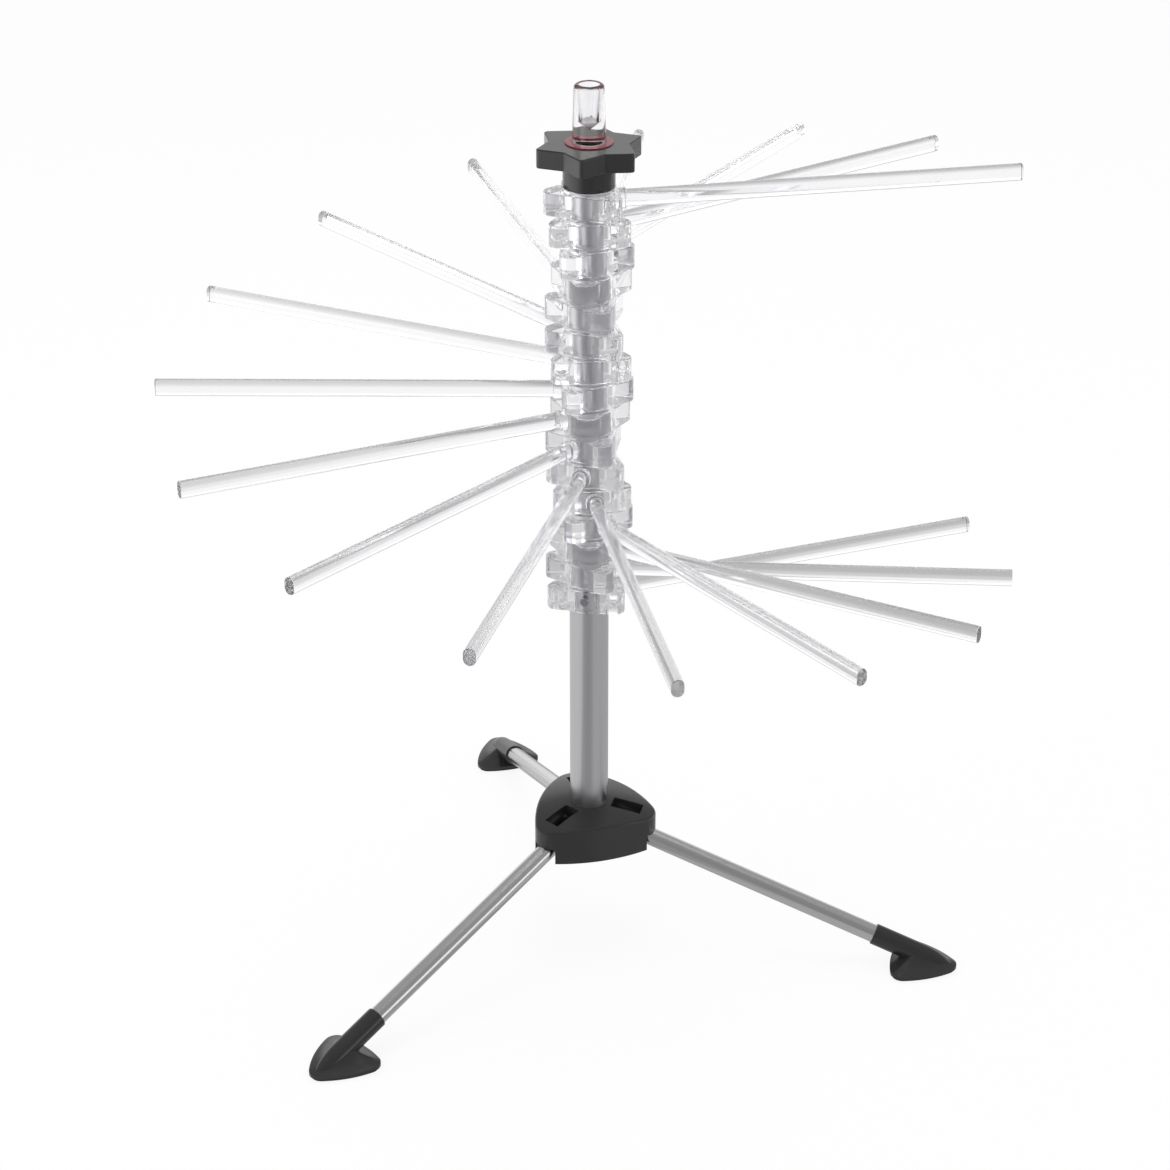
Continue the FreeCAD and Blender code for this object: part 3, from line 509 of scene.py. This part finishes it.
def black_plastic(finish):
    """Moulded black plastic of the knob, the hub and the feet."""
    material, graph = new_material("black_plastic")
    grain = noise(graph, 2600.0, 2.0)
    wear = noise(graph, 38.0, 5.0)
    surface(graph, Base_Color=tinted(graph, finish.black, 0.85, 1.2, wear),
            Roughness=0.13 + wear * 0.08 + grain * 0.04, IOR=1.5,
            Normal=bump(graph, grain, 0.25, 0.06 * MM))
    return material


def inner_plastic(finish):
    """Plain black plastic of the plug and the bush."""
    material, graph = new_material("inner_plastic")
    grain = noise(graph, 1800.0, 2.0)
    surface(graph, Base_Color=tinted(graph, finish.inner, 0.85, 1.15, grain),
            Roughness=0.5 + grain * 0.15, Normal=bump(graph, grain, 0.2, 0.08 * MM))
    return material


def column_aluminium(finish):
    """Satin aluminium, drawn along the column."""
    material, graph = new_material("column_aluminium")
    draw = noise(graph, 1.0, 3.0, stretch=(2200.0, 2200.0, 9.0))
    cloud = noise(graph, 30.0, 4.0)
    surface(graph, Base_Color=tinted(graph, finish.aluminium, 0.95, 1.05, draw),
            Metallic=1.0, Roughness=0.24 + cloud * 0.04 + draw * 0.05,
            Normal=bump(graph, draw, 0.08, 0.04 * MM))
    return material


def leg_chrome(finish):
    """Bright plating of the legs."""
    material, graph = new_material("leg_chrome")
    smear = noise(graph, 26.0, 4.0)
    pits = noise(graph, 900.0, 2.0)
    surface(graph, Base_Color=tinted(graph, finish.chrome, 0.96, 1.03, smear),
            Metallic=1.0, Roughness=0.2 + smear * 0.06, Normal=bump(graph, pits, 0.03, 0.05 * MM))
    return material


def fastener_steel(finish):
    """Turned steel of the screws and pins."""
    material, graph = new_material("fastener_steel")
    cut = noise(graph, 900.0, 3.0)
    surface(graph, Base_Color=tinted(graph, finish.steel, 0.85, 1.1, cut),
            Metallic=1.0, Roughness=0.28 + cut * 0.12, Normal=bump(graph, cut, 0.1, 0.05 * MM))
    return material


def sole_rubber(finish):
    """Matt rubber under the feet."""
    material, graph = new_material("sole_rubber")
    grain = noise(graph, 1500.0, 3.0)
    surface(graph, Base_Color=tinted(graph, finish.rubber, 0.8, 1.3, grain),
            Roughness=0.75 + grain * 0.15, Normal=bump(graph, grain, 0.3, 0.1 * MM))
    return material


# Column
class RACK_OT_column(bpy.types.Operator):
    """Finish the column tube and the pieces inside it"""
    bl_idname = "rack.column"
    bl_label = "Column"

    def execute(self, context):
        finish = context.scene.rack_finish
        dress(column_aluminium(finish), "column_tube")
        dress(inner_plastic(finish), "column_plug", "top_bush")
        pins = (f"leg_pin_{side}" for side in LEG_SIDES)
        dress(fastener_steel(finish), "base_screw", "collar_screw", *pins)
        return {"FINISHED"}


# Clear tiers
def plate_reach(sizes, bearing):
    """Distance from the axis to the collar's three-cornered outline, the arm leaving at bearing 0."""
    third = math.tau / 3
    sixth = third / 2
    off_corner = abs(bearing % third - sixth)
    distance, corner = sizes.corner_dist, sizes.corner_round
    arc_end = math.atan2(corner * math.sin(sixth), distance + corner * math.cos(sixth))
    if off_corner < arc_end:
        across = distance * math.sin(off_corner)
        return distance * math.cos(off_corner) + math.sqrt(corner ** 2 - across ** 2)
    return (distance / 2 + corner) / math.cos(sixth - off_corner)


def collar_shell(bm, sizes):
    """The collar's closed skin: bore, spacers, stop tracks and outline. Gives its wall and tracks."""
    def round_at(radius):
        return lambda bearing: radius

    def outline(bearing):
        return plate_reach(sizes, bearing)

    def track(radius):
        return lambda bearing: min(radius, outline(bearing) - sizes.stop_margin)

    def place_at(reach, height):
        def move(point):
            bearing = bearing_of(point)
            far = reach(bearing)
            return Vector((far * math.cos(bearing), far * math.sin(bearing), height))
        return move

    half = sizes.plate_thick / 2
    end = sizes.pitch / 2 - sizes.seam
    under = [
        (round_at(sizes.bore), -end), (round_at(sizes.spacer), -end), (round_at(sizes.spacer), -half),
        (track(sizes.stop_inner), -half), (track(sizes.stop_outer), -half), (outline, -half),
    ]
    course = under + [(reach, -height) for reach, height in reversed(under)] + under[:1]
    start, *steps = (place_at(*stage) for stage in course)
    verts = circle(bm, 1, sizes.facets)
    for vert in verts:
        vert.co = start(vert.co)
    loop = edges_of(verts)
    bands = []
    for move in steps:
        loop, faces = grow(bm, loop, move)
        bands.append(faces)
    bmesh.ops.remove_doubles(bm, verts=bm.verts, dist=WELD)
    wall = len(under) - 1
    above, below = wall + 2, wall - 2
    return bands[wall], bands[above], bands[below]


def raise_stops(bm, track, starts, sweep, rise):
    """Raises the parts of a stop track that start at some bearings."""
    def inside(face):
        bearing = bearing_of(face.calc_center_median())
        return any((bearing - start) % math.tau < sweep for start in starts)

    block = [face for face in track if inside(face)]
    raised = bmesh.ops.extrude_face_region(bm, geom=[*block, *edges_of(block)])["geom"]
    bmesh.ops.translate(bm, verts=only(bmesh.types.BMVert, raised), vec=(0, 0, rise))


def oval(bm, width, height, reach, facets):
    """An upright oval of wire square to X: two half circles joined by straight sides."""
    verts = circle(bm, width / 2, facets)
    lift = (height - width) / 2
    for vert in verts:
        across, up = vert.co.x, vert.co.y
        vert.co = (reach, across, up + math.copysign(lift, up))
    return edges_of(verts)


def tier_mesh(sizes):
    """One clear collar with its socket and arm, the arm along +X and the collar round the origin."""
    bm = bmesh.new()
    wall, above, below = collar_shell(bm, sizes)
    window = [face for face in wall if abs(bearing_of(face.calc_center_median())) < sizes.window]
    bmesh.ops.delete(bm, geom=window, context="FACES")
    opening = [edge for edge in bm.edges if edge.is_boundary]
    side = sizes.corner_dist / 2 + sizes.corner_round
    root = oval(bm, sizes.socket_width, sizes.socket_height, side, sizes.arm_facets)
    bmesh.ops.triangle_fill(bm, edges=opening + root, use_beauty=True)
    slant = Matrix.Rotation(-sizes.arm_rise, 4, "Y")

    def mouth(point):
        return slant @ Vector((sizes.socket_reach, point.y, point.z))

    def shrink(point):
        flat = slant.inverted() @ point
        thin = sizes.arm_width / sizes.socket_width
        bend = math.copysign((sizes.socket_height - sizes.socket_width) / 2, flat.z)
        lift = math.copysign((sizes.arm_height - sizes.arm_width) / 2, flat.z)
        return slant @ Vector((flat.x, flat.y * thin, lift + (flat.z - bend) * thin))

    def tip(point):
        flat = slant.inverted() @ point
        return slant @ Vector((sizes.arm_reach, flat.y, flat.z))

    loop = root
    for move in (mouth, shrink, tip):
        loop = grow(bm, loop, move)[0]
    bmesh.ops.contextual_create(bm, geom=loop)
    raise_stops(bm, above, (sizes.open_stop, sizes.closed_stop), sizes.stop_sweep, sizes.stop_height)
    raise_stops(bm, below, (sizes.tab_start,), sizes.tab_sweep, -sizes.stop_height)
    bmesh.ops.recalc_face_normals(bm, faces=bm.faces)
    round_edges(bm, sharp_edges(bm), sizes.plate_edge)
    return bm


class RACK_OT_tiers(bpy.types.Operator):
    """Build the clear collars with their arms"""
    bl_idname = "rack.tiers"
    bl_label = "Collars and arms"

    def execute(self, context):
        material = clear_plastic(context.scene.rack_finish)
        pattern = tier_mesh(context.scene.rack_tier)
        for number in ARM_NUMBERS:
            collar, arm = f"collar_{number}", f"arm_{number}"
            bm = pattern.copy()
            turn = Matrix.Rotation(bearing_of(middle(arm)), 4, "Z")
            lift = Matrix.Translation((0, 0, middle(collar).z))
            bmesh.ops.transform(bm, matrix=lift @ turn, verts=bm.verts)
            new_piece(f"clear_tier_{number}", bm, material, "clear_plastic", collar, arm)
        pattern.free()
        return {"FINISHED"}


# Knob, ring and wand
def ring_mesh(sizes, knob_top):
    """The seat ring, set into the knob, with a shoulder round the handle."""
    bm = bmesh.new()
    ring_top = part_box("knob_ring")[1].z - knob_top
    lathe(bm, [
        (sizes.way, -sizes.ring_seat), (sizes.ring_outer, -sizes.ring_seat),
        (sizes.ring_outer, ring_top), (sizes.ring_inner, ring_top),
        (sizes.ring_inner, 0), (sizes.way, 0),
    ], sizes.facets, closed=True)
    round_edges(bm, rim(bm, sizes.ring_outer, ring_top), sizes.ring_round, segments=4)
    bmesh.ops.translate(bm, verts=bm.verts, vec=(0, 0, knob_top))
    return bm


def wand_mesh(sizes, knob_top):
    """The wand: a rod in the column and a drilled handle above the knob."""
    bm = bmesh.new()
    rod_end, handle_end = (corner.z - knob_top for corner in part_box("pasta_wand"))
    lathe(bm, [
        (0, rod_end), (sizes.rod, rod_end), (sizes.rod, -sizes.seat), (sizes.handle, -sizes.seat),
        (sizes.handle_top, handle_end), (sizes.hollow, handle_end),
        (sizes.hollow_end, sizes.hollow_floor), (0, sizes.hollow_tip),
    ], sizes.facets)
    round_edges(bm, rim(bm, sizes.handle_top, handle_end), sizes.handle_round, segments=5)
    round_edges(bm, rim(bm, sizes.rod, rod_end), sizes.rod_edge, segments=3)
    bmesh.ops.translate(bm, verts=bm.verts, vec=(0, 0, knob_top))
    return bm


class RACK_OT_top(bpy.types.Operator):
    """Build the seat ring and the wand, and finish the clamp knob"""
    bl_idname = "rack.top"
    bl_label = "Knob, ring and wand"

    def execute(self, context):
        finish, sizes = context.scene.rack_finish, context.scene.rack_top
        knob_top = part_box("clamp_knob")[1].z
        dress(black_plastic(finish), "clamp_knob")
        ring = ring_mesh(sizes, knob_top)
        new_piece("seat_ring", ring, red_plastic(finish), "red_plastic", "knob_ring")
        frosted = wand_plastic(finish, sizes.hollow_end + sizes.frost_margin,
                               knob_top + sizes.hollow_tip - sizes.frost_margin,
                               knob_top + sizes.hollow_floor + sizes.frost_margin)
        wand = wand_mesh(sizes, knob_top)
        new_piece("clear_wand", wand, frosted, "clear_plastic", "pasta_wand")
        return {"FINISHED"}


# Hub, legs and feet
def hub_mesh(sizes):
    """The solid hub with a smooth domed top, whose lip runs lower at the corners than at the sides."""
    bm = solid_mesh("base_hub")
    skin = BVHTree.FromBMesh(bm)
    upward = 0.5

    def margin(point):
        """How far a point lies inside the hub's outline, by a ray from well outside it."""
        out = Vector((point.x, point.y, 0))
        start = out.normalized() + Vector((0, 0, sizes.deck))
        return skin.ray_cast(start, -out)[0].xy.length - out.length

    def on_top(face):
        place = face.calc_center_median()
        high = all(vert.co.z > sizes.deck for vert in face.verts)
        return high and place.z < sizes.boss and margin(place) > sizes.edge

    def in_lid(face):
        return face.normal.z > upward and sizes.deck < face.calc_center_median().z < sizes.boss

    def lid():
        return [face for face in bm.faces if in_lid(face)]

    def dome(radius):
        fall = (radius ** 2 - sizes.column ** 2) / (sizes.side ** 2 - sizes.column ** 2)
        return sizes.crown - (sizes.crown - sizes.lip) * fall

    bmesh.ops.delete(bm, geom=[face for face in bm.faces if on_top(face)], context="FACES")
    open_edges = [edge for edge in bm.edges if edge.is_boundary]
    bmesh.ops.triangle_fill(bm, edges=open_edges, use_beauty=True, normal=(0, 0, 1))
    bmesh.ops.recalc_face_normals(bm, faces=bm.faces)
    split_long_edges(bm, lid, sizes.step)
    # The new top lies on the dome, and the rounded edge keeps its drop below the lip
    for vert in bm.verts:
        if sizes.deck < vert.co.z < sizes.boss:
            drop = sizes.lip - vert.co.z if margin(vert.co) < sizes.edge else 0
            vert.co.z = dome(vert.co.xy.length) - drop
    bmesh.ops.recalc_face_normals(bm, faces=bm.faces)
    return bm


def leg_mesh(node, sizes):
    """The solid leg, brought to its full width about its own axis."""
    bm = solid_mesh(node)
    centre = middle(node)
    bearing = bearing_of(centre)
    across = math.cos(sizes.slope)
    axis = Vector((math.cos(bearing) * across, math.sin(bearing) * across, -math.sin(sizes.slope)))
    solid_radius = max((vert.co - centre).cross(axis).length for vert in bm.verts)
    swell = sizes.width / 2 / solid_radius
    lay = axis.to_track_quat("Z", "Y").to_matrix().to_4x4()
    lay.translation = centre
    bm.transform(lay @ Matrix.Diagonal((swell, swell, 1, 1)) @ lay.inverted())
    return bm


class RACK_OT_tripod(bpy.types.Operator):
    """Build the hub and the legs, and finish the feet and their soles"""
    bl_idname = "rack.tripod"
    bl_label = "Hub, legs and feet"

    def execute(self, context):
        finish = context.scene.rack_finish
        black = black_plastic(finish)
        hub = hub_mesh(context.scene.rack_hub)
        new_piece("domed_hub", hub, black, "black_plastic", "base_hub", smooth_turn=FINE_TURN)
        dress(black, *(f"foot_{side}" for side in LEG_SIDES))
        dress(sole_rubber(finish), *(f"sole_{side}" for side in LEG_SIDES))
        chrome = leg_chrome(finish)
        for side in LEG_SIDES:
            leg = leg_mesh(f"leg_rod_{side}", context.scene.rack_leg)
            new_piece(f"plated_leg_{side}", leg, chrome, "leg_chrome", f"leg_rod_{side}")
        return {"FINISHED"}


# Stage
WHITE = (1, 1, 1, 1)

# Where the floor's brightness changes: left and right by sideways over forwards, the rest in metres
LEAST_FORWARDS = 0.05
FLOOR_LEFT_SPAN = (-1.5, -0.3)
FLOOR_RIGHT_SPAN = (0.2, 0.5)
FLOOR_LAMP_SPAN = (-1.3, -0.6)
FLOOR_BACK_SPAN = (0.2, 0.9)

# Where the room's brightness changes, by the part of a direction that runs back, up or sideways
ROOM_FRONT_SPAN = (-0.7, 0.0)
ROOM_BACK_SPAN = (0.05, 0.45)
SKYLINE_SPAN = (0.12, 0.25)
PANEL_SIDE_SPAN = (0.28, 0.42)
PANEL_TOP_SPAN = (0.38, 0.5)
LAMP_SIDE_SPAN = (0.6, 0.85)
LAMP_TOP_SPAN = (0.2, 0.35)

# Each lamp's name, its place and size in metres, and its power in watts
LAMPS = (
    ("lamp_left", (-1.6, -0.6, 1.5), (1.2, 1.6), 9),
    ("lamp_top", (0.3, 0.5, 2.2), (1.6, 1.2), 12),
)


def lay_floor(studio):
    """A floor that is white to the camera, a little darker in reflections, and takes a faint shadow."""
    bm = bmesh.new()
    bmesh.ops.create_grid(bm, x_segments=1, y_segments=1, size=studio.floor_half)
    mesh = bpy.data.meshes.new("floor")
    bm.to_mesh(mesh)
    bm.free()
    floor = bpy.data.objects.new("floor", mesh)
    bpy.context.scene.collection.objects.link(floor)
    material, graph = new_material("floor")
    mesh.materials.append(material)
    spot = axes(graph, "Object")
    path = graph.add("ShaderNodeLightPath")
    straight = path["Is Camera Ray"]
    mirrored = path["Is Glossy Ray"].at_least(path["Is Transmission Ray"])
    aside = spot["X"] / (0 - spot["Y"]).at_least(LEAST_FORWARDS)
    front = ramp(graph, aside, FLOOR_LEFT_SPAN, studio.floor_left, studio.floor_front)
    front = front + ramp(graph, aside, FLOOR_RIGHT_SPAN, 0.0, studio.floor_right - studio.floor_front)
    front = front + ramp(graph, spot["X"], FLOOR_LAMP_SPAN, studio.floor_lamp, 0.0)
    back = ramp(graph, spot["Y"], FLOOR_BACK_SPAN, 0.0, 1.0)
    level = front + back * (studio.floor_back - front)
    strength = straight + (1 - straight) * level
    matt = graph.add("ShaderNodeBsdfDiffuse", {}, {"Color": (*studio.floor_tone, 1)})["BSDF"]
    white = graph.add("ShaderNodeEmission", {}, {"Color": WHITE, "Strength": strength})["Emission"]
    close(graph, blend(graph, straight * (1 - studio.shadow) + mirrored, matt, white))


def light_world(studio):
    """Even light for matt things, and a room with a white back and a lamp on the right for shiny ones."""
    world = bpy.data.worlds.new("studio")
    world.use_nodes = True
    bpy.context.scene.world = world
    graph = Graph(world.node_tree)
    path = graph.add("ShaderNodeLightPath")
    axis = axes(graph, "Generated")
    room = ramp(graph, axis["Y"], ROOM_FRONT_SPAN, studio.room_front, studio.room_side)
    behind = ramp(graph, axis["Y"], ROOM_BACK_SPAN, 0.0, studio.room_back - studio.room_side)
    skyline = ramp(graph, axis["Z"], SKYLINE_SPAN, 1.0, 0.0)
    panel = ramp(graph, axis["X"].size(), PANEL_SIDE_SPAN, 1.0, 0.0)
    panel = panel * ramp(graph, axis["Z"], PANEL_TOP_SPAN, 1.0, 0.0)
    lamp = ramp(graph, axis["X"], LAMP_SIDE_SPAN, 0.0, studio.room_lamp)
    lamp = lamp * ramp(graph, axis["Z"], LAMP_TOP_SPAN, 1.0, 0.0)
    through = path["Is Transmission Ray"]
    room = room + behind * skyline.at_least(panel) + lamp + through * studio.room_clear
    mirrored = path["Is Glossy Ray"].at_least(through)
    plain = path["Is Camera Ray"] + (1 - path["Is Camera Ray"]) * studio.soft_light
    strength = mirrored * room + (1 - mirrored) * plain
    light = graph.add("ShaderNodeBackground", {}, {"Color": WHITE, "Strength": strength})
    graph.add("ShaderNodeOutputWorld", {}, {"Surface": light["Background"]})


def hang_lamp(name, place, size, power, aim):
    """An area lamp that points at a height on the column and isn't seen in reflections."""
    lamp = bpy.data.lights.new(name, "AREA")
    lamp.shape = "RECTANGLE"
    lamp.size, lamp.size_y = size
    lamp.energy = power
    thing = bpy.data.objects.new(name, lamp)
    thing.location = place
    thing.rotation_euler = (Vector((0, 0, aim)) - Vector(place)).to_track_quat("-Z", "Y").to_euler()
    thing.visible_glossy = False
    bpy.context.scene.collection.objects.link(thing)


def set_camera(studio):
    camera = bpy.data.cameras.new("camera")
    camera.lens = studio.lens
    camera.shift_x = studio.shift
    camera.clip_end = studio.sight
    thing = bpy.data.objects.new("camera", camera)
    thing.location = (0, -studio.back_off, studio.eye)
    thing.rotation_euler = (math.pi / 2 - studio.tilt, 0, 0)
    bpy.context.scene.collection.objects.link(thing)
    bpy.context.scene.camera = thing


class RACK_OT_stage(bpy.types.Operator):
    """Lay the floor, hang the lamps and set the camera"""
    bl_idname = "rack.stage"
    bl_label = "Stage"

    def execute(self, context):
        studio = context.scene.rack_studio
        context.scene.view_settings.view_transform = "Standard"
        cycles = context.scene.cycles
        cycles.max_bounces = cycles.glossy_bounces = cycles.transmission_bounces = studio.bounces
        lay_floor(studio)
        light_world(studio)
        for lamp in LAMPS:
            hang_lamp(*lamp, studio.aim)
        set_camera(studio)
        return {"FINISHED"}


# Add-on
STEPS = (RACK_OT_column, RACK_OT_tiers, RACK_OT_top, RACK_OT_tripod, RACK_OT_stage)
GROUPS = {
    "rack_tier": RackTierSizes,
    "rack_top": RackTopSizes,
    "rack_leg": RackLegSizes,
    "rack_hub": RackHubSizes,
    "rack_finish": RackFinish,
    "rack_studio": RackStudio,
}


class RACK_PT_panel(bpy.types.Panel):
    """Lists the steps that dress the rack"""
    bl_idname = "RACK_PT_panel"
    bl_label = "Drying rack"
    bl_space_type = "VIEW_3D"
    bl_region_type = "UI"
    bl_category = "Drying rack"

    def draw(self, context):
        for step in STEPS:
            self.layout.operator(step.bl_idname)


CLASSES = (*GROUPS.values(), *STEPS, RACK_PT_panel)


def register():
    for made in CLASSES:
        bpy.utils.register_class(made)
    for name, group in GROUPS.items():
        setattr(bpy.types.Scene, name, PointerProperty(type=group))


def unregister():
    for name in GROUPS:
        delattr(bpy.types.Scene, name)
    for made in reversed(CLASSES):
        bpy.utils.unregister_class(made)


def main():
    register()
    bpy.ops.rack.column()
    bpy.ops.rack.tiers()
    bpy.ops.rack.top()
    bpy.ops.rack.tripod()
    bpy.ops.rack.stage()


if __name__ == "__main__":
    main()
